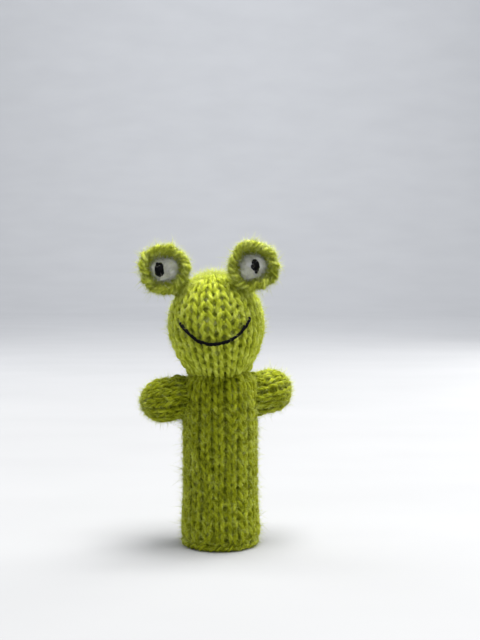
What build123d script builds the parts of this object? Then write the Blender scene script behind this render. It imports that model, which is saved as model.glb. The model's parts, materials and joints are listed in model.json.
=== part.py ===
from build123d import *
from math import cos, radians, sin, sqrt
import os

# A knitted frog finger puppet, standing on its open bottom edge. Millimetres, +Z up.
# The frog looks along -Y. Left and right are those of someone facing it, so -X is left.
# The origin is the centre of the finger hole's mouth, on the surface that the puppet stands on.

# Body tube
finger_radius = 9.5
knit_thickness = 2.2
tube_radius = finger_radius + knit_thickness
edge_radius = tube_radius + 0.3
edge_height = 2.4
bend_height = 24.0
bend_reach = 7.0
tube_top = 44.4
shoulder_top = 48.3
shoulder_round = 3.6
fingertip_height = 46.1
fingertip_round = 0.8

# Neck: every neck piece turns about the neck point
neck_height = 50.0
neck_ball_radius = 2.0
neck_thread_radius = 0.6
neck_play = 0.3
neck_hole_radius = 3.5
gather_top = 48.6

# Head, an upright egg that leans a little to the left
head_lean = 4.0
head_radius = 14.85
head_half_height = 16.2
head_centre_height = 16.4
head_wall = 2.0
stuffing_gap = 0.1
crown_hole_radius = 1.5
crown_thread_radius = 0.6

# Smile: how far its ends are from the middle, and its heights above the neck point
smile_half_width = 10.2
smile_end_height = 18.0
smile_low_height = 11.4
smile_roundness = 2.3
smile_spread = radians(80)
smile_stitches = 11
smile_gap = 0.12

# Eyes
eye_radius = 7.5
eye_depth = 3.8
eye_rim_width = 1.8
eye_rim_height = 2.9
eye_back_radius = 4.4
eye_wall = 1.6
eye_white_radius = 4.3
eye_white_thickness = 1.2
eye_white_round = 0.7
# Each eye: across and up from the neck point, how far forward its back is,
# where the pupil sits in it, and how far the pupil leans
eyes = {
    "left": (-13.9, 34.0, 4.2, -2.0, 0.0),
    "right": (12.2, 33.8, 6.2, 1.0, -8.0),
}
# Each pupil strand: its distance from the pupil's middle, and its length
pupil_strands = ((-0.9, 3.2), (0.0, 4.2), (0.9, 3.4))
pupil_strand_radius = 0.43

# Whip stitches that hold each eye: how far behind the cup, their size, and their turns round the head
sewing_setback = 2.6
sewing_length = 1.5
sewing_lift = 0.018
sewing_steps = (-8.0, 0.0, 8.0)

# Arms
arm_half_length = 5.9
arm_radius = 6.8
arm_wall = 1.6
arm_pivot_reach = 2.2
arm_centre_reach = 4.75
arm_ball_radius = 3.4
arm_ball_hole_radius = 1.9
arm_ring_inward = 1.2
arm_ring_outward = 0.9
# Each arm: its turn round the body from +X, its height, and how far its tip points up
arms = {
    "left": (180.0, 44.0, -6.0),
    "right": (28.0, 45.0, 6.0),
}

# Yarns and threads
sewing_radius = 0.4
black_thread_radius = 0.45
embedding = 0.2
seam_stitch_length = 2.4
seam_spacing = 2.8
seam_stitch_slant = 0.35
head_seam_turns = range(-50, 47, 12)

os.makedirs("parts", exist_ok=True)


def export(piece, label):
    """Label a finished piece and write it under its own name."""
    piece.part.label = label
    export_step(piece.part, f"parts/{label}.step")


def ring_profile(inner, outer, low, high):
    """The section of a plain ring round the Z axis, in the XZ plane."""
    with Locations(((inner + outer) / 2, (low + high) / 2)):
        Rectangle(outer - inner, high - low)


def stitch(point, along, length, radius):
    """One straight stitch with round ends, centred on a point."""
    direction = Vector(along).normalized()
    reach = length / 2 - radius
    with Locations(Plane(origin=point, z_dir=direction)):
        Cylinder(radius, 2 * reach)
    with Locations(Vector(point) - direction * reach, Vector(point) + direction * reach):
        Sphere(radius)


# ---------------------------------------------------------------- body tube

with BuildPart() as cast_on_edge:
    with BuildSketch(Plane.XZ):
        ring_profile(finger_radius, edge_radius, 0, edge_height)
    revolve(axis=Axis.Z)
    outer_rims = cast_on_edge.edges().filter_by(GeomType.CIRCLE).group_by(SortBy.RADIUS)[-1]
    fillet(outer_rims, radius=0.8)
export(cast_on_edge, "cast_on_edge")

with BuildPart() as body_lower_knit:
    with BuildSketch(Plane.XZ):
        ring_profile(finger_radius, tube_radius, edge_height, bend_height - bend_reach)
    revolve(axis=Axis.Z)
export(body_lower_knit, "body_lower_knit")

with BuildPart() as body_bend_knit:
    with BuildSketch(Plane.XZ):
        ring_profile(finger_radius, tube_radius, bend_height - bend_reach, bend_height + bend_reach)
    revolve(axis=Axis.Z)
export(body_bend_knit, "body_bend_knit")

with BuildPart() as body_upper_knit:
    with BuildSketch(Plane.XZ):
        ring_profile(finger_radius, tube_radius, bend_height + bend_reach, tube_top)
    revolve(axis=Axis.Z)
export(body_upper_knit, "body_upper_knit")

# The rounded top that closes the tube over the fingertip, gathered to a small hole at the neck
with BuildPart() as shoulder_knit:
    with BuildSketch(Plane.XZ):
        with BuildLine():
            Polyline(
                (finger_radius, fingertip_height - fingertip_round),
                (finger_radius, tube_top),
                (tube_radius, tube_top),
                (tube_radius, shoulder_top - shoulder_round),
            )
            TangentArc(
                (tube_radius, shoulder_top - shoulder_round),
                (tube_radius - shoulder_round, shoulder_top),
                tangent=(0, 1),
            )
            Polyline(
                (tube_radius - shoulder_round, shoulder_top),
                (neck_hole_radius, shoulder_top),
                (neck_hole_radius, fingertip_height),
                (finger_radius - fingertip_round, fingertip_height),
            )
            TangentArc(
                (finger_radius - fingertip_round, fingertip_height),
                (finger_radius, fingertip_height - fingertip_round),
                tangent=(1, 0),
            )
        make_face()
    revolve(axis=Axis.Z)
export(shoulder_knit, "shoulder_knit")

# ---------------------------------------------------------------- back seams of the tube


def tube_seam(low, high):
    """Short level stitches down the back of the tube, a little sunk in the knit."""
    count = int((high - low) / seam_spacing)
    start = (low + high - (count - 1) * seam_spacing) / 2
    for index in range(count):
        height = start + index * seam_spacing
        back = tube_radius + sewing_radius - embedding
        stitch((0, back, height), (1, 0, seam_stitch_slant), seam_stitch_length, sewing_radius)


with BuildPart() as back_seam_lower:
    tube_seam(edge_height, bend_height - bend_reach)
export(back_seam_lower, "back_seam_lower")

with BuildPart() as back_seam_upper:
    tube_seam(bend_height + bend_reach, tube_top)
export(back_seam_upper, "back_seam_upper")

# ---------------------------------------------------------------- neck

neck_point = Vector(0, 0, neck_height)

# The gathered stitches that turn in the hole of the shoulders
with BuildPart() as neck_gather:
    with BuildSketch(Plane.XZ):
        ring_profile(0, neck_hole_radius - neck_play, fingertip_height, gather_top)
    revolve(axis=Axis.Z)
    with Locations(neck_point):
        Sphere(neck_ball_radius + neck_play, mode=Mode.SUBTRACT)
export(neck_gather, "neck_gather")

# The thread drawn tight round the neck, one thick turn
with BuildPart() as neck_thread:
    with Locations(neck_point):
        Torus(neck_ball_radius - neck_thread_radius, neck_thread_radius)
export(neck_thread, "neck_thread")

# ---------------------------------------------------------------- head

lean = radians(head_lean)
head_right = Vector(cos(lean), 0, sin(lean))
head_up = Vector(-sin(lean), 0, cos(lean))
head_axis = Axis(neck_point, head_up)
face_plane = Plane(origin=neck_point, x_dir=head_right, z_dir=(0, -1, 0))


def head_point(across, forward, up):
    """A point given in the head's own directions, from the neck point."""
    return neck_point + head_right * across + Vector(0, -forward, 0) + head_up * up


def head_surface(across, up, outside=0.0):
    """How far forward the head's surface is, at a place on the face."""
    radius = head_radius + outside
    half_height = head_half_height + outside
    inside = 1 - (across / radius) ** 2 - ((up - head_centre_height) / half_height) ** 2
    return radius * sqrt(inside)


def half_egg(wall_inside, wall_outside):
    """The half section of a hollow or solid egg, measured in from the head's surface."""
    with Locations((0, head_centre_height)):
        Ellipse(head_radius - wall_outside, head_half_height - wall_outside)
        if wall_inside:
            Ellipse(head_radius - wall_inside, head_half_height - wall_inside, mode=Mode.SUBTRACT)
        Rectangle(
            head_radius,
            2 * head_half_height,
            align=(Align.MAX, Align.CENTER),
            mode=Mode.SUBTRACT,
        )


with BuildPart() as head_knit:
    with BuildSketch(face_plane):
        half_egg(head_wall, 0)
    revolve(axis=head_axis)
    with Locations(neck_point):
        Sphere(neck_ball_radius + neck_play, mode=Mode.SUBTRACT)
    with BuildSketch(Plane(origin=head_point(0, 0, head_centre_height), z_dir=head_up)):
        Circle(crown_hole_radius)
    extrude(amount=head_half_height, mode=Mode.SUBTRACT)
export(head_knit, "head_knit")

with BuildPart() as head_stuffing:
    with BuildSketch(face_plane):
        half_egg(0, head_wall + stuffing_gap)
    revolve(axis=head_axis)
    with Locations(neck_point):
        Sphere(neck_ball_radius + 2 * neck_play, mode=Mode.SUBTRACT)
export(head_stuffing, "head_stuffing")

# The drawn-up thread in the crown
crown_height = head_centre_height + head_half_height - head_wall / 2
with BuildPart() as crown_thread:
    with Locations(Plane(origin=head_point(0, 0, crown_height), z_dir=head_up)):
        Torus(crown_hole_radius - stuffing_gap - crown_thread_radius, crown_thread_radius)
export(crown_thread, "crown_thread")

# Level stitches down the back of the head
with BuildPart() as back_seam_head:
    for turn in head_seam_turns:
        rise = head_half_height * sin(radians(turn))
        back = head_surface(0, head_centre_height + rise, sewing_radius - embedding)
        centre = head_point(0, -back, head_centre_height + rise)
        stitch(centre, head_right, seam_stitch_length, sewing_radius)
export(back_seam_head, "back_seam_head")

# The smile: a row of black backstitches
def smile_point(share):
    """A point on the smile, from -1 at its left end to 1 at its right end."""
    side = sin(share * smile_spread) / sin(smile_spread)
    across = smile_half_width * side
    up = smile_low_height + (smile_end_height - smile_low_height) * abs(side) ** smile_roundness
    return head_point(across, head_surface(across, up, black_thread_radius - embedding), up)


with BuildPart() as mouth_stitches:
    for index in range(smile_stitches):
        first = smile_point(2 * index / smile_stitches - 1)
        last = smile_point(2 * (index + 1) / smile_stitches - 1)
        span = last - first
        centre = (first + last) / 2
        stitch(centre, span, span.length - smile_gap, black_thread_radius)
export(mouth_stitches, "mouth_stitches")

# ---------------------------------------------------------------- eyes

for side, (across, up, forward, pupil_across, pupil_lean) in eyes.items():
    eye_back = head_point(across, forward, up)
    eye_plane = Plane(origin=eye_back, x_dir=head_right, z_dir=(0, -1, 0))
    section_plane = Plane(origin=eye_back, x_dir=head_right, z_dir=-head_up)
    eye_axis = Axis(eye_back, (0, -1, 0))

    # A shallow crocheted cup, open to the front, with a thick rim
    with BuildPart() as eye_cup:
        with BuildSketch(section_plane):
            with BuildLine():
                Line((0, 0), (eye_back_radius, 0))
                Spline(
                    (eye_back_radius, 0),
                    (eye_radius - eye_rim_width * 0.4, eye_rim_height / 2),
                    (eye_radius, eye_rim_height),
                    tangents=((1, 0), (0, 1)),
                )
                ThreePointArc(
                    (eye_radius, eye_rim_height),
                    (eye_radius - eye_rim_width / 2, eye_depth),
                    (eye_radius - eye_rim_width, eye_rim_height),
                )
                Polyline(
                    (eye_radius - eye_rim_width, eye_rim_height),
                    (eye_white_radius + 0.2, eye_wall),
                    (0, eye_wall),
                    (0, 0),
                )
            make_face()
        revolve(axis=eye_axis)
    export(eye_cup, f"eye_cup_{side}")

    # The white wool that fills the cup
    with BuildPart() as eye_white:
        with BuildSketch(eye_plane.offset(eye_wall)):
            Circle(eye_white_radius)
        extrude(amount=eye_white_thickness)
        fillet(eye_white.faces().sort_by(Axis.Y)[0].edges(), radius=eye_white_round)
    export(eye_white, f"eye_white_{side}")

    # Black upright stitches, side by side
    pupil_forward = forward + eye_wall + eye_white_thickness + black_thread_radius
    pupil_turn = radians(pupil_lean)
    pupil_along = head_up * cos(pupil_turn) + head_right * sin(pupil_turn)
    with BuildPart() as pupil:
        for offset, length in pupil_strands:
            centre = head_point(across + pupil_across + offset, pupil_forward, up)
            stitch(centre, pupil_along, length, pupil_strand_radius)
    export(pupil, f"pupil_{side}")

    # Whip stitches on the head, close behind the foot of the cup
    seat_forward = forward - sewing_setback
    slice_share = sqrt(1 - (seat_forward / head_radius) ** 2)
    with BuildPart() as eye_sewing:
        for step in sewing_steps:
            reach = Vector(across, up - head_centre_height).rotate(Axis.Z, step)
            stretch = sqrt((reach.X / head_radius) ** 2 + (reach.Y / head_half_height) ** 2)
            seat = reach * ((slice_share + sewing_lift) / stretch)
            centre = head_point(seat.X, seat_forward, head_centre_height + seat.Y)
            stitch(centre, (0, -1, 0), sewing_length, sewing_radius)
    export(eye_sewing, f"eye_sewing_{side}")

# ---------------------------------------------------------------- arms

beyond = 20.0
for side, (turn, height, rise) in arms.items():
    out = Vector(cos(radians(turn)), sin(radians(turn)), 0)
    pivot = out * (tube_radius + arm_pivot_reach) + Vector(0, 0, height)
    arm_along = out * cos(radians(rise)) + Vector(0, 0, sin(radians(rise)))
    arm_centre = pivot + arm_along * arm_centre_reach
    level = out.cross(Vector(0, 0, 1))
    arm_frame = Plane(origin=arm_centre, x_dir=arm_along, z_dir=level)
    stuffing_inset = arm_wall + stuffing_gap

    # The ring of gathered stitches that sews the arm to the body
    with BuildPart() as arm_seam:
        with BuildSketch(Plane(origin=pivot, x_dir=out, z_dir=level)):
            Circle(arm_ball_radius)
            with Locations((-arm_ring_inward, 0)):
                Rectangle(beyond, beyond, align=(Align.MAX, Align.CENTER), mode=Mode.SUBTRACT)
            with Locations((arm_ring_outward, 0)):
                Rectangle(beyond, beyond, align=(Align.MIN, Align.CENTER), mode=Mode.SUBTRACT)
            with Locations((0, arm_ball_hole_radius)):
                Rectangle(beyond, beyond, align=(Align.CENTER, Align.MAX), mode=Mode.SUBTRACT)
        revolve(axis=Axis(pivot, out))
    export(arm_seam, f"arm_seam_{side}")

    # The knitted skin of the arm, a hollow egg with a round socket at its root
    with BuildPart() as arm_knit:
        with BuildSketch(arm_frame):
            Ellipse(arm_half_length, arm_radius)
            Ellipse(arm_half_length - arm_wall, arm_radius - arm_wall, mode=Mode.SUBTRACT)
            Rectangle(beyond, beyond, align=(Align.CENTER, Align.MAX), mode=Mode.SUBTRACT)
        revolve(axis=Axis(arm_centre, arm_along))
        with Locations(pivot):
            Sphere(arm_ball_radius + neck_play, mode=Mode.SUBTRACT)
    export(arm_knit, f"arm_knit_{side}")

    with BuildPart() as arm_stuffing:
        with BuildSketch(arm_frame):
            Ellipse(arm_half_length - stuffing_inset, arm_radius - stuffing_inset)
            Rectangle(beyond, beyond, align=(Align.CENTER, Align.MAX), mode=Mode.SUBTRACT)
        revolve(axis=Axis(arm_centre, arm_along))
        with Locations(pivot):
            Sphere(arm_ball_radius + 2 * neck_play, mode=Mode.SUBTRACT)
    export(arm_stuffing, f"arm_stuffing_{side}")
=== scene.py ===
import json
import math

import bpy
import numpy as np
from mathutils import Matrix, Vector


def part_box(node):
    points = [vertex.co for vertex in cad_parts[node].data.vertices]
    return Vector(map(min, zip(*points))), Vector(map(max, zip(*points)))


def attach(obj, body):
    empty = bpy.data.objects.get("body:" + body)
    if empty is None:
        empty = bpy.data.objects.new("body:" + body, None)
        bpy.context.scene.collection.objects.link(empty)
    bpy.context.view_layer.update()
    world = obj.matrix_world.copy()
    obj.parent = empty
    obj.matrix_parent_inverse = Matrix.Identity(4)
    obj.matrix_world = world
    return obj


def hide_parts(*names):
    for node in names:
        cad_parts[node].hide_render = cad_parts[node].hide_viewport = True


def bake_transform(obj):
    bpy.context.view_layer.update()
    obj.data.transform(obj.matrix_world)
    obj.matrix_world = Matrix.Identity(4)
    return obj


# A knitted frog finger puppet, made of loops of yarn laid round the CAD frame. Lengths are in
# millimetres, and become metres when a mesh is made. Angles are in radians.

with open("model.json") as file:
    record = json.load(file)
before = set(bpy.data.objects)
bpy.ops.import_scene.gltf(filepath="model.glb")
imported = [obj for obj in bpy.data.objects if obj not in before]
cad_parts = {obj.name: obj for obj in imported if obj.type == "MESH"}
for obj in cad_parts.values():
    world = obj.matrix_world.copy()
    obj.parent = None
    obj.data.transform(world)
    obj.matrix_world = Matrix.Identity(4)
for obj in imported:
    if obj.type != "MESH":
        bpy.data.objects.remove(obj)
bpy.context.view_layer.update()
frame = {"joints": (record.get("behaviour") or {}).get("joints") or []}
MM = 0.001
random = np.random.default_rng(7)

# ---------------------------------------------------------------- places, read from the frame


def corners(node):
    """The lowest and highest corner of a CAD node, in millimetres."""
    low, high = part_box(node)
    return np.array(low) / MM, np.array(high) / MM


def middle(node):
    low, high = corners(node)
    return (low + high) / 2


def joint_point(name):
    joint = next(j for j in frame["joints"] if j["name"] == name)
    return np.array(joint["pos_m"]) / MM


def unit(vector):
    vector = np.asarray(vector, float)
    return vector / np.linalg.norm(vector, axis=-1, keepdims=True)


def smooth(share):
    share = np.clip(share, 0, 1)
    return share * share * (3 - 2 * share)


BACK = np.array((0.0, 1.0, 0.0))
FRONT = -BACK
RIGHT = np.array((1.0, 0.0, 0.0))
UP = np.array((0.0, 0.0, 1.0))

tube_low, tube_high = corners("body_lower_knit")
tube_radius = (tube_high[0] - tube_low[0]) / 2
neck_point = joint_point("head_nod")
neck_height = neck_point[2]
head_low, head_high = corners("head_knit")
head_middle = middle("head_knit")
head_radius = (head_high[1] - head_low[1]) / 2
head_half_height = (head_high[2] - head_low[2]) / 2
head_up = unit((head_middle - neck_point) * (1, 0, 1))
head_right = np.array((head_up[2], 0.0, -head_up[0]))
head_rise = (head_middle - neck_point) @ head_up
head_centre = neck_point + head_up * head_rise
head_lean = math.atan2(-head_up[0], head_up[2])

# ---------------------------------------------------------------- yarn and fibre sizes

YARN = 0.76  # radii of the yarns
EYE_YARN = 0.6
ARM_YARN = 0.62
SEWING = 0.42
LIFT = 0.48  # how far a leg stands out from the middle of the knit, and a loop's top lies behind it
SKIN = YARN + LIFT
BODY_STITCHES = 18  # stitches round
ARM_STITCHES = 12
EYE_STITCHES = 13
BODY_ROW = 2.9  # from one row to the next
LOOP_REACH = 0.76  # half a loop's height, in rows
SAMPLES = 28  # points along each stitch
YARN_SIDES = 12
STRAY_WEIGHTS = (1, 2, 3, 2, 1)  # how alike the stitches of neighbouring rows are
STRAY_TOTAL = 4.36  # the length of those weights as a vector
BURY_STRAY = 0.12
YARN_BUMPS = 0.018

FIBRE = 0.036  # radius
FIBRE_SPREAD = 0.55  # of the lengths, on a log scale
FIBRE_SHORTEST, FIBRE_LONGEST = 0.3, 3.2  # in usual lengths
FIBRE_BEND_AT, FIBRE_TIP_AT = 0.5, 0.9
FIBRE_BEND_CURL, FIBRE_TIP_CURL = 0.16, 0.6
FIBRE_DISORDER = 0.8
FIBRE_ROOT_DEPTH = 0.05
FLOOR_GAP = 0.05

# ---------------------------------------------------------------- meshes


def make_piece(name, parts, material):
    """One mesh object from parts of (points, face blocks, corner UV blocks, point values)."""
    vertices, starts, loops, uvs, values = [], [], [], [], []
    base = corner = 0
    for number, (points, faces, uv, value) in enumerate(parts):
        vertices.append(points)
        values.append(value)
        for face_block, uv_block in zip(faces, uv):
            count, size = face_block.shape
            loops.append((face_block + base).ravel())
            starts.append(corner + size * np.arange(count))
            band = uv_block.reshape(-1, 2).copy()
            band[:, 1] = (number + band[:, 1]) / len(parts)
            uvs.append(band)
            corner += count * size
        base += len(points)
    vertices = np.concatenate(vertices) * MM
    mesh = bpy.data.meshes.new(name)
    mesh.vertices.add(len(vertices))
    mesh.vertices.foreach_set("co", vertices.astype(np.float32).ravel())
    mesh.loops.add(corner)
    mesh.loops.foreach_set("vertex_index", np.concatenate(loops).astype(np.int32))
    starts = np.concatenate(starts)
    mesh.polygons.add(len(starts))
    mesh.polygons.foreach_set("loop_start", starts.astype(np.int32))
    mesh.polygons.foreach_set("use_smooth", np.full(len(starts), True))
    mesh.update(calc_edges=True)
    layer = mesh.uv_layers.new(name="OFBake")
    layer.data.foreach_set("uv", np.concatenate(uvs).astype(np.float32).ravel())
    # depth holds each point's value, which the wool materials turn into painted light and shade.
    attribute = mesh.attributes.new("depth", "FLOAT", "POINT")
    attribute.data.foreach_set("value", np.concatenate(values).astype(np.float32))
    mesh.validate()
    mesh.materials.append(material)
    piece = bpy.data.objects.new(name, mesh)
    bpy.context.scene.collection.objects.link(piece)
    return piece


def sweep(paths, reference, radius, closed=False, lobes=3, groove=0.12, lay=2.2):
    """Tubes of yarn along many paths at once, as one part.

    paths is (tubes, points, 3), reference the outward direction at each point, and radius a number
    or one for each point. The section has a groove between each of its lobes, the plies, which wind
    along the yarn once in lay x lobes.
    """
    sides = YARN_SIDES
    tubes, count, _ = paths.shape
    radius = np.broadcast_to(radius, (tubes, count))
    if closed:
        along = np.roll(paths, -1, 1) - np.roll(paths, 1, 1)
    else:
        along = np.gradient(paths, axis=1)
    along = unit(along + 1e-12)
    across = unit(np.cross(along, reference))
    outward = np.cross(across, along)
    steps = np.linalg.norm(np.diff(paths, axis=1, prepend=paths[:, :1]), axis=2)
    travelled = np.cumsum(steps, axis=1)
    turn = 2 * math.pi * np.arange(sides) / sides
    winding = turn[None, None, :] - (travelled * 2 * math.pi / (lay * lobes))[:, :, None]
    section = radius[:, :, None] * (1 - groove + groove * np.cos(lobes * winding))
    ring = (
        paths[:, :, None, :]
        + across[:, :, None, :] * (section * np.cos(turn))[..., None]
        + outward[:, :, None, :] * (section * np.sin(turn))[..., None]
    )
    points = ring.reshape(-1, 3)
    # Each point's place round its ply, which the wool materials use to paint shade into the grooves
    # between plies and light onto the ply tops.
    value = np.broadcast_to(np.cos(lobes * winding), (tubes, count, sides)).reshape(-1)
    spans = count if closed else count - 1
    tube, step, side = np.meshgrid(
        np.arange(tubes), np.arange(spans), np.arange(sides), indexing="ij"
    )
    turns = [(0, 0), (1, 0), (1, 1), (0, 1)]
    quads = np.stack(
        [(tube * count + (step + s) % count) * sides + (side + k) % sides for s, k in turns],
        axis=-1,
    ).reshape(-1, 4)
    columns = max(1, int(math.sqrt(tubes * 6 / count)))
    rows = math.ceil(tubes / columns)
    corner_uv = np.stack(
        [
            np.stack(
                [
                    (tube % columns + 0.02 + 0.96 * (step + s) / spans) / columns,
                    (tube // columns + 0.04 + 0.92 * (side + k) / sides) / rows,
                ],
                axis=-1,
            )
            for s, k in turns
        ],
        axis=-2,
    ).reshape(-1, 4, 2)
    faces, uv = [quads], [corner_uv]
    if not closed:
        first = np.arange(tubes)[:, None] * count * sides + np.arange(sides)
        last = (first + (count - 1) * sides)[:, ::-1]
        spot = np.stack(
            [
                (np.arange(tubes) % columns + 0.01) / columns,
                (np.arange(tubes) // columns + 0.02) / rows,
            ],
            axis=-1,
        )
        for cap in (first, last):
            faces.append(cap)
            uv.append(np.repeat(spot[:, None], sides, axis=1))
    return points, faces, uv, value


# ---------------------------------------------------------------- knitting


class Surface:
    """A round surface: a profile of (radius, height) points on its own axes.

    warp, if there is one, moves its local points: it takes them with their turns and distances along.
    """

    def __init__(self, profile, origin, axes, warp=None):
        self.profile = np.array(profile, float)
        lengths = np.linalg.norm(np.diff(self.profile, axis=0), axis=1)
        self.distance = np.concatenate([[0], np.cumsum(lengths)])
        self.length = self.distance[-1]
        slope = unit(np.gradient(self.profile, self.distance, axis=0))
        self.normal = np.stack([slope[:, 1], -slope[:, 0]], axis=1)
        self.origin = np.asarray(origin, float)
        self.axes = np.array(axes)
        self.warp = warp

    def height(self, along):
        return np.interp(along, self.distance, self.profile[:, 1])

    def point(self, turn, along, lift):
        radius = np.interp(along, self.distance, self.profile[:, 0])
        height = self.height(along)
        radius = radius + lift * np.interp(along, self.distance, self.normal[:, 0])
        height = height + lift * np.interp(along, self.distance, self.normal[:, 1])
        local = np.stack([radius * np.cos(turn), radius * np.sin(turn), height], axis=-1)
        if self.warp:
            local = self.warp(local, turn, along)
        return self.origin + local @ self.axes

    def at(self, turn, along, lift):
        """Points at a turn round the axis, a distance along the profile and a lift off it.

        Also gives which way is out at each of them.
        """
        point = self.point(turn, along, lift)
        return point, unit(self.point(turn, along, lift + 0.05) - point)


def knit(surface, rows, stitches, radius, row, swing=0.115, pull=0.045, depth=LIFT, uneven=0.05,
         first_turn=0.0, fade=None, samples=SAMPLES):
    """Rows of knitted loops: the path, the outward direction and the yarn radius at each point.

    A row is one closed yarn. Its legs stand out by depth, and its loop tops and feet lie behind its
    neighbours. swing spreads the legs into a V, and pull draws the two legs of a stitch together; each
    may differ from row to row. fade thins the yarn with the distance along the surface.
    """
    rows = np.asarray(rows, float)
    place = np.arange(stitches * samples) / samples
    phase = 2 * math.pi * place

    def stray(strength):
        """Random unevenness, one value for each loop, like its neighbours up the column."""
        noise = random.normal(size=(len(rows) + 4, stitches))
        noise = sum(w * noise[i: i + len(rows)] for i, w in enumerate(STRAY_WEIGHTS)) / STRAY_TOTAL
        knots = np.arange(stitches + 1)
        return strength * np.array([np.interp(place, knots, np.append(r, r[0])) for r in noise])

    bumps = random.normal(size=(len(rows), len(place)))
    window = np.hanning(11)
    bumps = np.array([np.convolve(np.tile(b, 3), window, "same")[len(b): 2 * len(b)] for b in bumps])
    swing, pull, depth = (np.broadcast_to(value, len(rows))[:, None] for value in (swing, pull, depth))
    turn = place + swing * np.sin(2 * phase) * (1 + stray(3 * uneven)) - pull * np.sin(phase)
    turn = turn + stray(uneven)
    along = rows[:, None] + LOOP_REACH * row * np.cos(phase) * (1 + stray(uneven)) + row * stray(uneven)
    along = np.clip(along, 0, surface.length)
    lift = -depth * np.cos(2 * phase) * (1 + stray(3 * uneven)) + BURY_STRAY * stray(1.0)
    points, outward = surface.at(first_turn + turn * 2 * math.pi / stitches, along, lift)
    size = radius * (1 + YARN_BUMPS * bumps)
    if fade is not None:
        size = size * np.interp(along, *fade)
    return points, outward, size


def stitches_part(loops, chosen=slice(None)):
    """A part made of some of a knit's rows."""
    paths, outward, size = (values[chosen] for values in loops)
    return sweep(paths, outward, size, closed=True)


def fibres(name, parts, count, length, material, lift=(0.1, 0.85), inner=-0.2, centre=None, bald=None):
    """Loose wool fibres on the yarn of some parts, as one piece.

    lift is how steeply they stand off the yarn, from and to. They grow where the yarn faces away from
    the centre by more than inner, a cosine. None grow within a bald spot, a centre and a radius.
    """
    points = np.concatenate([part[0] for part in parts])
    bases = np.cumsum([0] + [len(part[0]) for part in parts[:-1]])
    faces = np.concatenate([part[1][0] + base for part, base in zip(parts, bases)])
    face = points[faces[random.integers(0, len(faces), count)]]
    root = face.mean(axis=1)
    normal = unit(np.cross(face[:, 2] - face[:, 0], face[:, 3] - face[:, 1]) + 1e-12)
    centre = points.mean(axis=0) if centre is None else centre
    keep = (normal * unit(root - centre)).sum(axis=1) > inner
    if bald:
        keep &= np.linalg.norm(root - bald[0], axis=1) > bald[1]
    root, normal = root[keep], normal[keep]
    number = len(root)
    size = random.lognormal(0, FIBRE_SPREAD, (number, 1)).clip(FIBRE_SHORTEST, FIBRE_LONGEST)
    size = length * size
    stand = lift[0] + (lift[1] - lift[0]) * random.random((number, 1)) ** 1.5
    heading = unit(normal * stand + unit(random.normal(size=root.shape)) * FIBRE_DISORDER)
    curl = unit(random.normal(size=root.shape))
    side = unit(np.cross(heading, curl))
    over = np.cross(side, heading)
    bend = root + heading * size * FIBRE_BEND_AT + curl * size * FIBRE_BEND_CURL
    tip = root + heading * size * FIBRE_TIP_AT + curl * size * FIBRE_TIP_CURL
    for end in (bend, tip):
        end[:, 2] = np.maximum(end[:, 2], FLOOR_GAP)
    width = FIBRE * random.uniform(0.8, 1.3, (number, 1, 1))
    angle = 2 * math.pi * np.arange(3)[None, :, None] / 3
    ring = (side[:, None] * np.cos(angle) + over[:, None] * np.sin(angle)) * width
    vertices = np.concatenate(
        [(root - normal * FIBRE_ROOT_DEPTH)[:, None] + ring, bend[:, None] + ring * 0.8, tip[:, None]],
        axis=1,
    )
    first = 7 * np.arange(number)[:, None]
    around = [(0, 1), (1, 2), (2, 0)]
    caps = first + np.array([2, 1, 0])
    quads = np.concatenate([first + np.array([a, b, b + 3, a + 3]) for a, b in around])
    tips = np.concatenate([first + np.array([a + 3, b + 3, 6]) for a, b in around])
    across = math.ceil(math.sqrt(number))
    cell = np.stack([np.arange(number) % across, np.arange(number) // across], axis=-1)[:, None]

    def patch(*places):
        """Corner UVs inside each fibre's own cell."""
        return (cell + np.array(places)[None]) / across

    low, high = 0.15, 0.85
    strips = ((low, 0.38), (0.38, 0.62), (0.62, high))
    cap_uv = patch((low, low), (low + 0.1, low), (low, low + 0.1))
    quad_uv = np.concatenate([patch((low, a), (low, b), (0.5, b), (0.5, a)) for a, b in strips])
    tip_uv = np.concatenate([patch((0.5, a), (0.5, b), (high, 0.5)) for a, b in strips])
    value = np.zeros(len(vertices) * 7)
    part = vertices.reshape(-1, 3), [quads, caps, tips], [quad_uv, cap_uv, tip_uv], value
    return make_piece(name, [part], material)


LINING_ROWS_PER_MM = 1.3
LINING_STEPS_PER_STITCH = 4
LINING_BUMPS = 0.07


def lining(surface, first, last, stitches, lift=-0.55, thickness=0.35):
    """The matted back of the knit between two places on a surface: a thin uneven sleeve, as a part."""
    rows = max(6, int((last - first) * LINING_ROWS_PER_MM))
    turns = stitches * LINING_STEPS_PER_STITCH
    out_way = np.linspace(first, last, rows)
    along = np.concatenate([out_way, out_way[::-1]])
    lifts = np.concatenate([np.full(rows, lift), np.full(rows, lift - thickness)])
    turn = 2 * math.pi * np.arange(turns) / turns
    noise = random.normal(size=(2 * rows, turns)) * LINING_BUMPS
    turn_grid, along_grid = np.meshgrid(turn, along)
    points, _ = surface.at(turn_grid, along_grid, lifts[:, None] + noise)
    row, step = np.meshgrid(np.arange(2 * rows), np.arange(turns), indexing="ij")
    order = [(0, 0), (0, 1), (1, 1), (1, 0)]
    quads = np.stack([((row + r) % (2 * rows)) * turns + (step + s) % turns for r, s in order], -1)
    uv = np.stack([np.stack([(step + s) / turns, (row + r) / (2 * rows)], -1) for r, s in order], -2)
    # Every point's value is -1, so the wool materials paint the lining darker: painted shade behind the
    # knit.
    value = np.full(2 * rows * turns, -1.0)
    return points.reshape(-1, 3), [quads.reshape(-1, 4)], [uv.reshape(-1, 4, 2)], value


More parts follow.
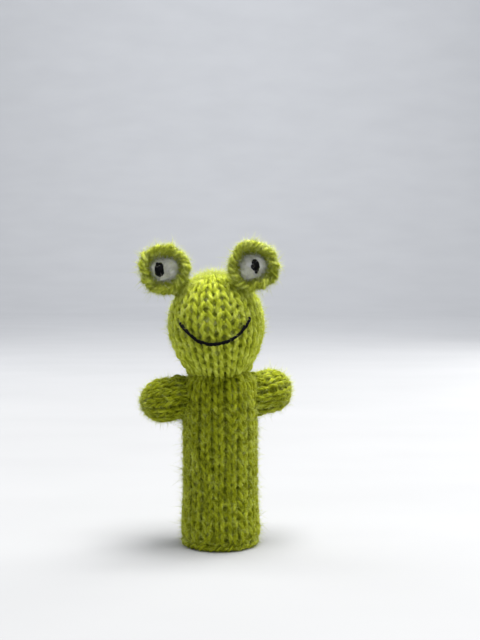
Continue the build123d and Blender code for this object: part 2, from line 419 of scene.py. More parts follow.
def egg(origin, radii, axes, bumps, outline=None, rings=40, segments=64):
    """A closed lumpy egg of loose fibre, as a part. outline gives its share of the width at each turn."""
    polar = np.linspace(0, math.pi, rings)[:, None]
    turn = np.linspace(0, 2 * math.pi, segments, endpoint=False)[None]
    noise = random.normal(size=(rings, segments))
    lumps = sum(np.roll(noise, (i, j), (0, 1)) for i in range(-2, 3) for j in range(-2, 3)) / 5
    lumps = bumps * lumps * np.sin(polar)
    width = outline(turn) if outline else 1.0
    shape = [
        (radii[0] * width + lumps) * np.sin(polar) * np.cos(turn),
        (radii[1] * width + lumps) * np.sin(polar) * np.sin(turn),
        (radii[2] + lumps) * np.cos(polar) + 0 * turn,
    ]
    points = origin + sum(part[..., None] * axis for part, axis in zip(shape, axes))
    ring, seg = np.meshgrid(np.arange(rings - 1), np.arange(segments), indexing="ij")
    turns = [(0, 0), (1, 0), (1, 1), (0, 1)]
    quads = np.stack([(ring + r) * segments + (seg + s) % segments for r, s in turns], -1)
    uv = np.stack(
        [np.stack([(seg + s) / segments, (ring + r) / (rings - 1)], -1) for r, s in turns], -2
    )
    # The point values, three times the lumps, paint shade into the hollows and light onto the bumps.
    return points.reshape(-1, 3), [quads.reshape(-1, 4)], [uv.reshape(-1, 4, 2)], lumps.reshape(-1) * 3


def arcs(starts, ends, outward, rise, sink, points=9):
    """Paths of sewn stitches: each comes up out of the knit, lies on it and goes in again."""
    share = np.linspace(0, 1, points)[None, :, None]
    starts, ends = np.asarray(starts, float)[:, None], np.asarray(ends, float)[:, None]
    outward = np.asarray(outward, float)[:, None] * np.ones((1, points, 1))
    hump = np.sin(math.pi * share) ** 0.55
    return starts + (ends - starts) * share + outward * (hump * (rise + sink) - sink), outward


# ---------------------------------------------------------------- materials


def shader(name):
    material = bpy.data.materials.new(name)
    material.use_nodes = True
    nodes, links = material.node_tree.nodes, material.node_tree.links
    return material, nodes, links, nodes["Principled BSDF"]


def ramp(nodes, stops):
    node = nodes.new("ShaderNodeValToRGB")
    elements = node.color_ramp.elements
    elements[0].position, elements[0].color = stops[0][0], (*stops[0][1], 1)
    elements[1].position, elements[1].color = stops[-1][0], (*stops[-1][1], 1)
    for position, colour in stops[1:-1]:
        elements.new(position).color = (*colour, 1)
    return node


def screen(red, green, blue):
    """A linear colour from screen values of 0 to 255."""
    shares = [value / 255 for value in (red, green, blue)]
    return tuple(s / 12.92 if s < 0.0405 else ((s + 0.055) / 1.055) ** 2.4 for s in shares)


def wool(name, dark, mid, light, sheen=0.3, scatter=0.3, fibre=2600.0, bump=0.5):
    """Soft wool: mottled dye, fine fibres, painted shade in the grooves between plies and a light sheen.

    dark, mid and light are screen colours, and fibre is how fine the fibres are.
    """
    dark, mid, light = (screen(*colour) for colour in (dark, mid, light))
    material, nodes, links, surface = shader(name)
    place = nodes.new("ShaderNodeTexCoord")
    patches = nodes.new("ShaderNodeTexNoise")
    patches.inputs["Scale"].default_value = 420.0
    patches.inputs["Detail"].default_value = 3.0
    links.new(place.outputs["Object"], patches.inputs["Vector"])
    hairs = nodes.new("ShaderNodeTexNoise")
    hairs.inputs["Scale"].default_value = fibre
    hairs.inputs["Detail"].default_value = 5.0
    hairs.inputs["Distortion"].default_value = 1.6
    links.new(place.outputs["Object"], hairs.inputs["Vector"])
    # depth paints light and shade: ply grooves, the lining and hollows go darker, ply tops and bumps
    # lighter.
    depth = nodes.new("ShaderNodeAttribute")
    depth.attribute_name = "depth"
    patches_and_painted_shade = nodes.new("ShaderNodeMath")
    patches_and_painted_shade.operation = "MULTIPLY_ADD"
    patches_and_painted_shade.inputs[1].default_value = 0.08
    links.new(depth.outputs["Fac"], patches_and_painted_shade.inputs[0])
    links.new(patches.outputs["Fac"], patches_and_painted_shade.inputs[2])
    mixed = nodes.new("ShaderNodeMath")
    mixed.operation = "MULTIPLY_ADD"
    mixed.inputs[1].default_value = 0.6
    links.new(hairs.outputs["Fac"], mixed.inputs[0])
    links.new(patches_and_painted_shade.outputs[0], mixed.inputs[2])
    tones = ramp(nodes, [(0.5, dark), (0.8, mid), (1.0, light)])
    links.new(mixed.outputs[0], tones.inputs["Fac"])
    links.new(tones.outputs["Color"], surface.inputs["Base Color"])
    relief = nodes.new("ShaderNodeBump")
    relief.inputs["Strength"].default_value = bump
    relief.inputs["Distance"].default_value = 0.0002
    links.new(hairs.outputs["Fac"], relief.inputs["Height"])
    links.new(relief.outputs["Normal"], surface.inputs["Normal"])
    surface.inputs["Roughness"].default_value = 0.92
    surface.inputs["Specular IOR Level"].default_value = 0.12
    surface.inputs["Sheen Weight"].default_value = sheen
    surface.inputs["Sheen Roughness"].default_value = 0.45
    surface.inputs["Sheen Tint"].default_value = (*light, 1)
    surface.inputs["Subsurface Weight"].default_value = scatter
    surface.inputs["Subsurface Radius"].default_value = (1.0, 0.95, 0.3)
    surface.inputs["Subsurface Scale"].default_value = 0.0012
    return material


green = wool("green_wool", (94, 100, 6), (140, 148, 14), (174, 182, 44))
# A lighter copy of the green wool for the head's knit: painted light from above.
lit_head_green = wool("stretched_green_wool", (128, 138, 22), (178, 188, 46), (208, 218, 92))
# A lighter copy of the green wool for the eye cups: painted light from above.
lit_cup_green = wool("eye_cup_wool", (136, 146, 28), (190, 199, 62), (218, 226, 112))
green_fuzz = wool("green_fibres", (134, 144, 20), (170, 182, 44), (204, 214, 96), bump=0.0)
# A darker copy of the green wool: painted shade in the neck crease, where its thread lies, and the same
# darker yarn on the seams.
green_sewing = wool("green_sewing_yarn", (92, 100, 6), (128, 138, 14), (160, 170, 36))
white = wool("white_wool", (194, 195, 174), (232, 233, 218), (246, 247, 238))
white_fuzz = wool("white_fibres", (196, 198, 184), (226, 227, 218), (240, 241, 236), bump=0.0)
black = wool("black_yarn", (2, 2, 3), (7, 7, 9), (20, 20, 24), sheen=0.02, scatter=0.0)
# The stuffing's greens are painted shade, tinted by the knit over it; its pale end is the fibre's own
# colour.
stuffing = wool("stuffing_fibre", (124, 134, 34), (168, 178, 62), (214, 218, 150), fibre=1500.0)

# ---------------------------------------------------------------- tube, neck and head, knitted in one


def height_blend():
    """A way to move: bake the piece in place, following no body."""
    return lambda piece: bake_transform(piece)


def riding(body):
    """A way to move: follow one body."""
    return lambda piece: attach(piece, body)


def finish(piece, move, slot, *replaced):
    """Sets how a piece moves and hides the CAD nodes that it stands for; slot is not used."""
    move(piece)
    if replaced:
        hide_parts(*replaced)


tube_centre = tube_radius - SKIN - 0.15  # radii to the middle of the yarn
crease_height = neck_height + 1.3
crease_radius = 7.7
shoulder_height = neck_height - 2.0
head_wide, head_tall = head_radius - SKIN, head_half_height - SKIN
HEM_HEIGHT = 1.2
HEM_FLARE = ((HEM_HEIGHT, 0.75), (4.0, 0.65), (9.0, 0.4))  # heights, and how far the hem stands out
HEM_TOP = 16.0
CHIN = ((9.2, 4.0), (10.3, 6.0), (11.5, 7.8))  # radii, and heights above the neck point
GATHER_REACH = 3.2  # how far the pleats reach above and below the crease
PLEATS = ((7, 0.035, 0.5), (12, 0.02, 0.0))  # how many round, their size and where they start
NECK_WAVES = ((3, 0.45, 1.2), (5, 0.25, 0.0))
DENT_TURN, DENT_WIDTH = math.pi + 0.1, 0.16  # a fold in the front of the neck
DENT_DROP, DENT_HEIGHT, DENT_DEPTH = 2.4, 1.9, 0.15
LEAN_RISE = 6.0  # the height over which the lean grows


def figure_profile():
    """The middle of the yarn from the hem to the crown: radius and height, before the head leans."""
    points = [(tube_centre + flare, height) for height, flare in HEM_FLARE]
    points += [(tube_centre, height) for height in np.linspace(HEM_TOP, shoulder_height - 1, 7)]
    points += [
        (tube_centre - 0.15, shoulder_height),
        (tube_centre - 0.7, shoulder_height + 1.5),
        (crease_radius + 0.8, crease_height - 0.7),
        (crease_radius, crease_height),
        (crease_radius + 0.5, crease_height + 0.8),
    ]
    points += [(radius, neck_height + rise) for radius, rise in CHIN]
    for angle in np.radians(np.linspace(-28, 83, 40)):
        height = neck_height + head_rise + head_tall * math.sin(angle)
        points.append((head_wide * math.cos(angle), height))
    return points


def ripple(turn, waves):
    """The sum of some waves round a turn."""
    return sum(size * np.sin(count * turn + start) for count, size, start in waves)


def lean_head(local, turn, along):
    """Leans everything above the shoulders about the neck point, and pleats the gathered neck."""
    local = local.copy()
    near = np.exp(-(((local[..., 2] - crease_height) / GATHER_REACH) ** 2))
    pleat = 1 + near * ripple(turn, PLEATS)
    aside = np.angle(np.exp(1j * (turn - DENT_TURN))) / DENT_WIDTH
    below = (local[..., 2] - crease_height + DENT_DROP) / DENT_HEIGHT
    local[..., :2] *= (pleat - DENT_DEPTH * np.exp(-(aside**2) - below**2))[..., None]
    local[..., 2] += near * ripple(turn, NECK_WAVES)
    angle = head_lean * smooth((local[..., 2] - shoulder_height + 1) / LEAN_RISE)
    side, rise = local[..., 1], local[..., 2] - neck_height
    leaned = local.copy()
    leaned[..., 1] = side * np.cos(angle) + rise * np.sin(angle)
    leaned[..., 2] = neck_height + rise * np.cos(angle) - side * np.sin(angle)
    return leaned


figure = Surface(figure_profile(), (0, 0, 0), (BACK, -RIGHT, UP), lean_head)
first_row = 1.1 + LOOP_REACH * BODY_ROW
last_row = figure.length - 0.2
row_count = 1 + round((last_row - first_row) / BODY_ROW)
figure_rows = np.linspace(first_row, last_row, row_count)
row_heights = figure.height(figure_rows)
crown_fade = (
    [0, figure.length - 12, figure.length - 5, figure.length],
    [1, 1, 0.8, 0.5],
)
swing = np.interp(row_heights, (8, 40, 50, 60, 76), (0.165, 0.19, 0.15, 0.15, 0.165))
pull = np.interp(row_heights, (50, 60), (0.045, 0.015))
depth = np.interp(row_heights, (56, 66), (LIFT, 0.36))
loops = knit(
    figure, figure_rows, BODY_STITCHES, YARN, BODY_ROW, swing=swing, pull=pull, depth=depth, uneven=0.07,
    fade=crown_fade,
)

# Every zone but the head's upper one is baked in place; that one rides the head.
bend = height_blend()
neck_turn = height_blend()
neck_tilt = height_blend()
neck_nod = height_blend()
BEND_MIDDLE, SHOULDER_FOOT, HEAD_FOOT = 24, 44.6, 61
neck_foot, neck_top = crease_height - 0.7, crease_height + 1.5
crown = figure.height(figure.length)
# Each zone's lowest and highest row, how it moves, its fibres in each layer, its layers of them and
# the CAD nodes it replaces
zones = {
    "body_lower": (0, BEND_MIDDLE, bend, 19500, 2, ("body_lower_knit", "body_bend_knit")),
    "body_upper": (BEND_MIDDLE, SHOULDER_FOOT, bend, 19500, 2, ("body_upper_knit",)),
    "shoulder": (SHOULDER_FOOT, neck_foot, neck_turn, 8000, 1, ("shoulder_knit",)),
    "neck": (neck_foot, neck_top, neck_tilt, 3600, 1, ("neck_gather",)),
    "head_lower": (neck_top, HEAD_FOOT, neck_nod, 10000, 1, ()),
    "head_upper": (HEAD_FOOT, crown + 1, riding("head"), 19900, 3, ("head_knit",)),
}
FIBRE_LAYERS = (("_fibres", 0.85), ("_long_fibres", 1.25), ("_short_fibres", 0.7))
for zone, (low, high, move, hairs, layers, replaced) in zones.items():
    part = stitches_part(loops, (row_heights >= low) & (row_heights < high))
    knitted = [part]
    if zone != "head_upper":
        ends = (max(low, HEM_HEIGHT), high)
        first, last = np.interp(ends, figure.profile[:, 1], figure.distance)
        knitted.append(lining(figure, first, last, BODY_STITCHES))
    # The head's knit takes the lighter copy of the green wool, painted light from above.
    yarn = lit_head_green if zone.startswith("head") else green
    finish(make_piece(zone + "_stitches", knitted, yarn), move, "green_yarn", *replaced)
    for layer, length in FIBRE_LAYERS[:layers]:
        finish(fibres(zone + layer, [part], hairs, length, green_fuzz), move, "green_yarn")


def rope(radius, height, strand, yarn, twists, points=500, ruffle=None, origin=(0, 0, 0),
         axes=(BACK, -RIGHT, UP), uneven=0.0):
    """A ring of two strands twisted round each other, as a part.

    ruffle bends the ring, and uneven is where the waves of its twist start.
    """
    turn = np.linspace(0, 2 * math.pi, points, endpoint=False)
    paths, outs = [], []
    for start in (0, math.pi):
        wind = twists * turn + start + 0.5 * np.sin(2 * turn + uneven) + 0.35 * np.sin(5 * turn + start)
        thick = strand * (1 + 0.3 * np.sin(3 * turn + uneven + start))
        reach = radius + thick * np.cos(wind)
        rise = height + thick * np.sin(wind)
        if ruffle:
            reach, rise = ruffle(turn, reach, rise)
        local = np.stack([reach * np.cos(turn), reach * np.sin(turn), rise], axis=-1)
        paths.append(np.asarray(origin) + local @ np.array(axes))
        level = np.stack([np.cos(turn), np.sin(turn), 0 * turn], axis=-1)
        outs.append(level @ np.array(axes))
    size = yarn * (1 + 0.04 * np.sin(5 * turn + 1.0))
    return sweep(np.array(paths), np.array(outs), np.broadcast_to(size, (2, points)), closed=True)


EDGE_YARN = 0.64
EDGE_STRAND = 0.36  # from the middle of the rope to the middle of a strand
EDGE_TWISTS = 19
edge = rope(tube_centre + 0.5, EDGE_YARN + EDGE_STRAND, EDGE_STRAND, EDGE_YARN, EDGE_TWISTS)
finish(make_piece("cast_on_rope", [edge], green), riding("body_lower"), "green_yarn", "cast_on_edge")
finish(fibres("cast_on_fibres", [edge], 4200, 0.85, green_fuzz), riding("body_lower"), "green_yarn")

# ---------------------------------------------------------------- neck thread, crown and back seams


def sewn(name, part, move, *replaced):
    """A piece of green sewing yarn."""
    finish(make_piece(name, [part], green_sewing), move, "sewing_yarn", *replaced)


THREAD_POINTS = 200
thread_turn = np.linspace(0, 2 * math.pi, THREAD_POINTS, endpoint=False)
crease_along = float(np.interp(crease_height, figure.profile[:, 1], figure.distance))
thread_along, thread_lift = np.full(THREAD_POINTS, crease_along), np.full(THREAD_POINTS, 0.35)
thread, thread_out = figure.at(thread_turn, thread_along, thread_lift)
thread_part = sweep(thread[None], thread_out[None], 0.45, closed=True)
sewn("neck_thread_yarn", thread_part, riding("neck_thread"), "neck_thread")

COIL_POINTS = 90
COIL_TURNS = 2.6
coil_turn = np.linspace(0, 2 * math.pi * COIL_TURNS, COIL_POINTS)
coil_reach = np.linspace(2.3, 0.35, COIL_POINTS)
coil_rise = np.linspace(0.0, 0.35, COIL_POINTS)
coil = (
    middle("crown_thread")
    + (coil_reach * np.cos(coil_turn))[:, None] * head_right
    + (coil_reach * np.sin(coil_turn))[:, None] * BACK
    + coil_rise[:, None] * head_up
)
coil_part = sweep(coil[None], np.broadcast_to(head_up, (1, COIL_POINTS, 3)), SEWING)
sewn("crown_thread_yarn", coil_part, riding("head"), "crown_thread")

SEAM_HALF_WIDTH = 1.15
SEAM_STRAY = 0.12


def back_seam(name, low, high, move, replaced):
    """Level stitches up the back that draw the two edges of the fabric together."""
    first, last = np.interp((low, high), figure.profile[:, 1], figure.distance)
    count = max(2, round((last - first) / BODY_ROW))
    places = np.linspace(first, last, count)
    places = places + random.normal(size=count) * SEAM_STRAY
    half_turn = SEAM_HALF_WIDTH / np.interp(places, figure.distance, figure.profile[:, 0])
    lift = np.full(count, SKIN - 0.25)
    starts, outward = figure.at(-half_turn, places - 0.25, lift)
    ends, _ = figure.at(half_turn, places + 0.25, lift)
    paths, outs = arcs(starts, ends, outward, rise=0.12, sink=0.7)
    sewn(name, sweep(paths, outs, SEWING), move, replaced)


back_seam("back_seam_lower_yarn", 3.2, 23.0, bend, "back_seam_lower")
back_seam("back_seam_upper_yarn", 25.5, 44.0, bend, "back_seam_upper")
back_seam("back_seam_head_yarn", 60.0, 80.0, riding("head"), "back_seam_head")

head_fill_radii = np.array((head_wide, head_wide, head_tall)) - 0.6
head_axes = (head_right, BACK, head_up)
head_egg = egg(head_centre, head_fill_radii, head_axes, 0.14, rings=60, segments=90)
head_fill = make_piece("head_stuffing_fibre", [head_egg], stuffing)
finish(head_fill, riding("head"), "stuffing", "head_stuffing")

# ---------------------------------------------------------------- smile

SMILE_HALF_WIDTH = 10.2
SMILE_END_HEIGHT = 18.0
SMILE_LOW_HEIGHT = 11.4
SMILE_ROUNDNESS = 2.3
SMILE_SWEEP = math.radians(80)  # how the stitches shorten towards the corners
SMILE_STITCHES = 12
SMILE_OVERLAP = 0.035
SMILE_YARN = 0.52
SMILE_WOBBLE = 0.2


def face_point(across, up, lift=0.0):
    """A point on the front of the head, across and up from the neck point, and which way is out."""
    wide, tall = head_radius + lift, head_half_height + lift
    depth = wide * np.sqrt(1 - (across / wide) ** 2 - ((up - head_rise) / tall) ** 2)
    spot = neck_point + np.multiply.outer(across, head_right) + np.multiply.outer(up, head_up)
    spot = spot + np.multiply.outer(depth, FRONT)
    offset = spot - head_centre
    flat = offset - np.multiply.outer(offset @ head_up, head_up)
    outward = flat / head_radius**2 + np.multiply.outer(offset @ head_up, head_up) / head_half_height**2
    return spot, unit(outward)


def smile_point(share, lift=0.1):
    """A point on the smile, for a share of -1 at its left corner to 1 at its right one."""
    side = np.sin(share * SMILE_SWEEP) / math.sin(SMILE_SWEEP)
    rise = (SMILE_END_HEIGHT - SMILE_LOW_HEIGHT) * np.abs(side) ** SMILE_ROUNDNESS
    return face_point(SMILE_HALF_WIDTH * side, SMILE_LOW_HEIGHT + rise, lift)


def smile():
    """Backstitches in black yarn that overlap end to end, thinner towards the corners."""
    share = np.linspace(-1, 1, SMILE_STITCHES + 1)
    starts, _ = smile_point(np.clip(share[:-1] - SMILE_OVERLAP, -1, 1))
    ends, _ = smile_point(np.clip(share[1:] + SMILE_OVERLAP, -1, 1))
    centres = (share[:-1] + share[1:]) / 2
    _, outward = smile_point(centres)
    wobble = random.normal(size=(2, SMILE_STITCHES, 1)) * SMILE_WOBBLE
    starts = starts + wobble[0] * head_up
    ends = ends + wobble[1] * head_up
    paths, outs = arcs(starts, ends, outward, rise=0.3, sink=0.25, points=11)
    thick = SMILE_YARN * (1 - 0.28 * np.abs(centres) ** 3) * random.uniform(0.92, 1.08, SMILE_STITCHES)
    return sweep(paths, outs, thick[:, None] * np.ones((1, 11)), lobes=2, groove=0.14, lay=1.3)


mouth = make_piece("mouth_backstitches", [smile()], black)
finish(mouth, riding("head"), "black_thread", "mouth_stitches")

# ---------------------------------------------------------------- eyes

# The pupil's upright stitches, from left to right: how far across each is, and its upper and lower end
PUPILS = {
    "left": ((-0.9, 1.0, -1.2), (-0.5, 1.85, -1.6), (0.0, 1.35, -1.8), (0.5, 1.8, -1.6), (0.9, 1.2, -1.1)),
    "right": (
        (-0.9, 0.3, -0.3), (-0.5, 1.4, -0.9), (-0.05, 1.75, -1.9), (0.4, 1.6, -1.3), (0.8, 0.9, -0.5),
    ),
}
PUPIL_SHIFT = {"left": 0.6, "right": -0.4}  # across from the CAD pupil
PUPIL_LEAN = {"left": 0.0, "right": math.radians(-6)}
PUPIL_YARN = 0.5
EYE_DROP = {"left": 0.0, "right": 0.7}  # down from the CAD eye
CUP_PROFILE = [(0.9, 0.75), (3.2, 0.8), (4.7, 1.15), (5.7, 1.9)]  # radii, and heights off the cup's back
RIM_INSET, RIM_HEIGHT = 1.2, 2.75
RIM_YARN, RIM_STRAND = 0.58, 0.62
CUP_ROWS = np.array([1.3, 3.1, 4.9, 6.5])
CUP_ROW = 1.9
FOOT_STRANDS = 7
FOOT_STITCHES = 6


def white_outline(side):
    """The share of its radius that the white wool fills, at each turn from the right."""
    def left(turn):
        return 0.72 + 0.17 * np.cos(turn) ** 2 + 0.03 * np.sin(3 * turn)

    def right(turn):
        corner = np.maximum(np.cos(turn - math.radians(225)), 0) ** 6
        return 0.73 + 0.08 * np.cos(turn) ** 2 + 0.22 * corner + 0.03 * np.sin(3 * turn + 1)

    return left if side == "left" else right


def cup_ruffle(seed):
    """Waves of a cup's rim, in and out and to and fro."""
    in_and_out = ((3, 0.25, seed), (5, 0.2, 2 * seed), (11, 0.22, seed))
    to_and_fro = ((4, 0.34, 3 * seed), (7, 0.3, seed))
    return lambda turn: (ripple(turn, in_and_out), ripple(turn, to_and_fro))


def foot_part(cup_back, seat):
    """Gathered strands from the head up to the back of a cup, with the middles of their two ends."""
    towards = unit((head_centre - cup_back) * (1, 0, 1))
    sideways = np.cross(towards, FRONT)
    spread = np.linspace(-1, 1, FOOT_STRANDS)
    starts = [seat + sideways * 2.6 * s + towards * (0.8 + 0.5 * s * s) + FRONT * 1.4 for s in spread]
    ends = [cup_back + towards * (4.6 - 1.0 * s * s) + sideways * 3.4 * s + FRONT * 0.9 for s in spread]
    paths, outs = arcs(starts, ends, np.tile(BACK, (FOOT_STRANDS, 1)), rise=0.45, sink=0.0)
    return sweep(paths, outs, EYE_YARN), np.mean(starts, axis=0), np.mean(ends, axis=0)


def foot_stitches(cup_back, seat):
    """The stitches that hold a cup's foot to the head, as a part."""
    towards = unit((head_centre - cup_back) * (1, 0, 1))
    sideways = np.cross(towards, FRONT)
    spread = np.linspace(-1, 1, FOOT_STITCHES)
    middles = [seat + sideways * 2.9 * s + towards * 0.6 * s * s for s in spread]
    starts = [point - sideways * 0.3 + towards * 1.1 + BACK * 0.4 for point in middles]
    ends = [point + sideways * 0.3 - towards * 0.4 + FRONT * 1.0 for point in middles]
    paths, outs = arcs(starts, ends, np.tile(BACK, (FOOT_STITCHES, 1)), rise=0.35, sink=0.3)
    return sweep(paths, outs, SEWING)


def pupil_part(side, pupil_middle):
    """Upright satin stitches, as a part."""
    lean = PUPIL_LEAN[side]
    upright = head_up * math.cos(lean) + head_right * math.sin(lean)
    level = np.cross(upright, FRONT)
    level = level if level @ RIGHT > 0 else -level
    starts = [pupil_middle + level * across + upright * low for across, high, low in PUPILS[side]]
    ends = [pupil_middle + level * across * 0.9 + upright * high for across, high, low in PUPILS[side]]
    paths, outs = arcs(starts, ends, np.tile(FRONT, (len(starts), 1)), rise=0.35, sink=0.45)
    return sweep(paths, outs, PUPIL_YARN, lobes=2, groove=0.06, lay=1.4)


def eye(side, seed):
    """A cup of knit with a ruffled rim, its wad of white wool, its pupil and what holds it to the head."""
    cup_low, cup_high = corners("eye_cup_" + side)
    cup_middle = (cup_low + cup_high) / 2
    cup_radius = (cup_high[0] - cup_low[0]) / 2
    drop = -EYE_DROP[side] * head_up
    cup_back = cup_middle * (1, 0, 1) + BACK * cup_high[1] + drop
    axes = (head_right, head_up, FRONT)
    waves = cup_ruffle(seed)
    rim_reach = cup_radius - RIM_INSET

    def ruffle(local, turn, along):
        share = smooth((along - 3.0) / 4.0)
        wide, to_fro = waves(turn)
        scale = 1 + wide * share / rim_reach
        return np.stack([local[..., 0] * scale, local[..., 1] * scale, local[..., 2] + to_fro * share], -1)

    bowl = Surface(CUP_PROFILE + [(rim_reach, RIM_HEIGHT)], cup_back, axes, ruffle)
    fade = ([0, 3, bowl.length], [0.6, 0.95, 1.0])
    bowl_loops = knit(bowl, CUP_ROWS, EYE_STITCHES, EYE_YARN, CUP_ROW, depth=0.28, fade=fade, samples=24)

    def rim_ruffle(turn, reach, rise):
        wide, to_fro = waves(turn)
        return reach + wide, rise + to_fro

    wrap = rope(
        rim_reach, RIM_HEIGHT, RIM_STRAND, RIM_YARN, EYE_STITCHES, points=460, ruffle=rim_ruffle,
        origin=cup_back, axes=axes, uneven=seed,
    )
    bowl_part = stitches_part(bowl_loops)
    back_part = lining(bowl, 0.2, bowl.length - 0.3, EYE_STITCHES, lift=-0.1, thickness=0.3)
    body = "eye_" + side
    # The cup's knit takes the lighter copy of the green wool, painted light.
    cup = make_piece(body + "_cup_stitches", [bowl_part, wrap, back_part], lit_cup_green)
    finish(cup, riding(body), "green_yarn", "eye_cup_" + side)
    for layer, length in (("_cup_fibres", 0.8), ("_cup_long_fibres", 1.2)):
        halo = fibres(
            body + layer, [bowl_part, wrap], 13000, length, green_fuzz,
            centre=cup_back + FRONT * 1.5, inner=-0.6,
        )
        finish(halo, riding(body), "green_yarn")

    white_low, white_high = corners("eye_white_" + side)
    white_middle = (white_low + white_high) / 2 + drop
    white_radius = (white_high[0] - white_low[0]) / 2
    pupil_middle = middle("pupil_" + side) + head_right * PUPIL_SHIFT[side] + drop
    white_radii = (white_radius, white_radius, 0.85)
    wad = egg(white_middle, white_radii, axes, 0.07, white_outline(side), segments=80)
    finish(make_piece(body + "_white_wool", [wad], white), riding(body), "white_yarn", "eye_white_" + side)
    wisps = fibres(
        body + "_white_fibres", [wad], 3600, 1.0, white_fuzz, lift=(0.02, 0.25), inner=-1.0,
        bald=(pupil_middle, 1.9),
    )
    finish(wisps, riding(body), "white_yarn")

    pupil = make_piece(body + "_pupil_yarn", [pupil_part(side, pupil_middle)], black)
    finish(pupil, riding(body), "black_thread", "pupil_" + side)

    seat = middle("eye_sewing_" + side)
    foot, foot_start, foot_end = foot_part(cup_back, seat)
    foot_piece = make_piece(body + "_foot_yarn", [foot], green)
    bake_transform(foot_piece)
    sewn(body + "_sewing_yarn", foot_stitches(cup_back, seat), riding("head"), "eye_sewing_" + side)


eye("left", 0.6)
eye("right", 2.3)

# ---------------------------------------------------------------- arms

ARM_RISE = {"left": math.radians(-10), "right": math.radians(9)}
ARM_ROW = 2.3
ARM_ROOT = 5.3  # radii to the middle of the yarn
ARM_WIDE = 5.85
ARM_TIP_START, ARM_TIP_LENGTH = 3.0, 6.4
ARM_SEAM_STITCHES = 16
ARM_SEAM_HALF_TURN = 0.06
ARM_FILL_OUT, ARM_FILL_RADII = 4.3, (4.6, 4.6, 4.4)
SADDLE_START, SADDLE_LENGTH = 1.0, 6.0


def arm_profile():
    """The middle of the arm's yarn: radius and distance out from the pivot."""
    points = [(ARM_ROOT, -4.4), (ARM_ROOT, -2.6), (ARM_ROOT + 0.4, -0.6)]
    points += [(ARM_WIDE - 0.1, 1.0), (ARM_WIDE, 2.6)]
    for angle in np.radians(np.linspace(6, 80, 16)):
        reach = ARM_TIP_START + ARM_TIP_LENGTH * math.sin(angle)
        points.append((ARM_WIDE * math.cos(angle) ** 0.9, reach))
    return points


def arm(side):
    """A stuffed knitted arm: its root row rides the seam, and its other rows are baked in place."""
    pivot = joint_point(f"arm_{side}_raise")
    out = unit(pivot * (1, 1, 0))
    rise = ARM_RISE[side]
    along_arm = out * math.cos(rise) + UP * math.sin(rise)
    level = unit(np.cross(UP, along_arm))
    over = np.cross(along_arm, level)
    body_reach = tube_radius - 0.4

    def saddle(local, turn, along):
        """Shapes the arm's root to the round of the body."""
        share = 1 - smooth((along - SADDLE_START) / SADDLE_LENGTH)
        drop = body_reach - np.sqrt(np.maximum(body_reach**2 - local[..., 0] ** 2, 1.0))
        fitted = local.copy()
        fitted[..., 2] = local[..., 2] - drop * share
        return fitted

    skin = Surface(arm_profile(), pivot, (level, over, along_arm), saddle)
    count = 1 + round((skin.length - 1.6) / ARM_ROW)
    rows = np.linspace(1.4, skin.length - 0.2, count)
    fade = ([0, skin.length - 7, skin.length], [1, 1, 0.55])
    loops = knit(
        skin, rows, ARM_STITCHES, ARM_YARN, ARM_ROW, swing=0.2, depth=0.42, uneven=0.12, fade=fade,
        first_turn=-math.pi / 2,
    )
    root = stitches_part(loops, slice(0, 1))
    rest = stitches_part(loops, slice(1, None))
    matted = lining(skin, 2.6, skin.length - 0.6, ARM_STITCHES, lift=-0.5)
    body, seam = "arm_" + side, "arm_seam_" + side

    def arm_move(piece):
        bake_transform(piece)

    finish(make_piece(body + "_root_stitches", [root], green), riding(seam), "green_yarn")
    finish(fibres(body + "_root_fibres", [root], 2600, 0.9, green_fuzz), riding(seam), "green_yarn")
    knitted = make_piece(body + "_stitches", [rest, matted], green)
    finish(knitted, arm_move, "green_yarn", "arm_knit_" + side)
    finish(fibres(body + "_fibres", [rest], 15000, 1.0, green_fuzz), arm_move, "green_yarn")

    fill_egg = egg(pivot + along_arm * ARM_FILL_OUT, ARM_FILL_RADII, (level, over, along_arm), 0.12)
    fill = make_piece(body + "_stuffing_fibre", [fill_egg], stuffing)
    finish(fill, riding(body), "stuffing", "arm_stuffing_" + side)

    turns = np.linspace(0, 2 * math.pi, ARM_SEAM_STITCHES, endpoint=False)
    each = np.ones(ARM_SEAM_STITCHES)
    starts, outward = skin.at(turns - ARM_SEAM_HALF_TURN, 1.5 * each, 1.35 * each)
    ends, _ = skin.at(turns + ARM_SEAM_HALF_TURN, 3.4 * each, 0.95 * each)
    paths, outs = arcs(starts, ends, outward, rise=0.1, sink=0.4)
    sewn(seam + "_yarn", sweep(paths, outs, SEWING), riding(seam), seam)


arm("left")
arm("right")

# ---------------------------------------------------------------- stage

CAMERA_DISTANCE = 0.33
CAMERA_HEIGHT = 0.085
CAMERA_RIGHT = 0.006
CAMERA_DROP = math.radians(3.0)
VIEW_HEIGHT = 0.192  # of what the camera sees at the object
TARGET = (0, 0, 0.05)
WORLD_COLOUR, WORLD_STRENGTH = (0.93, 0.95, 1.0, 1), 0.38
# Each light's place, aim, size, power and colour
LIGHTS = {
    "top_light": ((0.10, 0.0, 0.85), TARGET, 0.45, 15.0, (1.0, 0.99, 0.96)),
    "fill_light": ((0.5, -0.7, 0.4), TARGET, 0.8, 0.8, (0.97, 0.98, 1.0)),
    "right_rim_light": ((0.55, 0.5, 0.3), TARGET, 0.5, 4.6, (1.0, 0.99, 0.97)),
    "left_rim_light": ((-0.6, 0.45, 0.3), TARGET, 0.5, 3.0, (0.97, 0.98, 1.0)),
    "backdrop_light": ((0, 0.9, 1.5), (0, 2.2, 0.9), 1.2, 42.0, (0.95, 0.97, 1.0)),
}


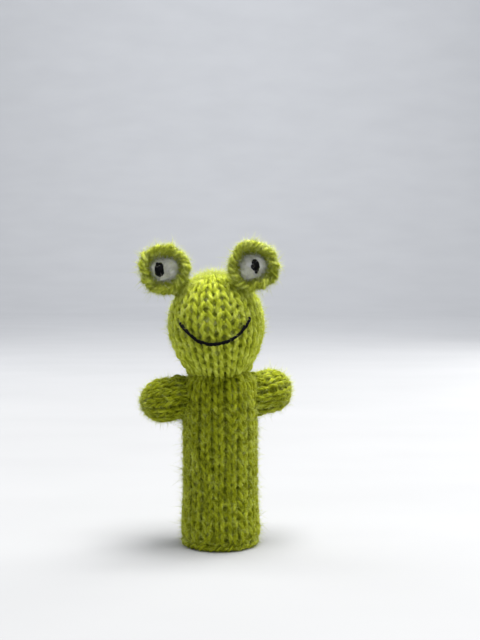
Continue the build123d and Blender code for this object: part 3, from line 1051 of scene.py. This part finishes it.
def stage_floor():
    """A pale floor that sweeps up behind into a plain backdrop."""
    width, front, run, sweep_radius, height = 3.0, -1.2, 1.4, 0.8, 2.4
    line = [(front, 0.0), (run, 0.0)]
    line += [
        (run + sweep_radius * math.sin(a), sweep_radius * (1 - math.cos(a)))
        for a in np.linspace(0, math.pi / 2, 16)[1:]
    ]
    line.append((run + sweep_radius, height))
    vertices = [(x, y, z) for y, z in line for x in (-width, width)]
    faces = [(2 * i, 2 * i + 1, 2 * i + 3, 2 * i + 2) for i in range(len(line) - 1)]
    mesh = bpy.data.meshes.new("floor")
    mesh.from_pydata(vertices, [], faces)
    for face in mesh.polygons:
        face.use_smooth = True
    floor = bpy.data.objects.new("floor", mesh)
    bpy.context.scene.collection.objects.link(floor)
    material, nodes, links, surface = shader("pale_floor")
    grain = nodes.new("ShaderNodeTexNoise")
    grain.inputs["Scale"].default_value = 60.0
    tones = ramp(nodes, [(0.3, (0.33, 0.334, 0.345)), (0.7, (0.345, 0.349, 0.36))])
    links.new(grain.outputs["Fac"], tones.inputs["Fac"])
    links.new(tones.outputs["Color"], surface.inputs["Base Color"])
    surface.inputs["Roughness"].default_value = 0.8
    mesh.materials.append(material)


def area_light(name, place, aim, size, power, colour):
    data = bpy.data.lights.new(name, "AREA")
    data.size = size
    data.energy = power
    data.color = colour
    light = bpy.data.objects.new(name, data)
    light.location = place
    light.rotation_euler = (Vector(aim) - Vector(place)).to_track_quat("-Z", "Y").to_euler()
    bpy.context.scene.collection.objects.link(light)


def stage_lights():
    for name, settings in LIGHTS.items():
        area_light(name, *settings)
    world = bpy.data.worlds.new("studio")
    world.use_nodes = True
    background = world.node_tree.nodes["Background"]
    background.inputs["Color"].default_value = WORLD_COLOUR
    background.inputs["Strength"].default_value = WORLD_STRENGTH
    bpy.context.scene.world = world
    bpy.context.scene.view_settings.view_transform = "Standard"


def stage_camera():
    data = bpy.data.cameras.new("camera")
    data.sensor_fit = "AUTO"
    data.angle = 2 * math.atan(VIEW_HEIGHT / 2 / CAMERA_DISTANCE)
    data.clip_start = 0.01
    camera = bpy.data.objects.new("camera", data)
    camera.location = (CAMERA_RIGHT, -CAMERA_DISTANCE, CAMERA_HEIGHT)
    camera.rotation_euler = (math.pi / 2 - CAMERA_DROP, 0, 0)
    bpy.context.scene.collection.objects.link(camera)
    bpy.context.scene.camera = camera


stage_floor()
stage_lights()
stage_camera()
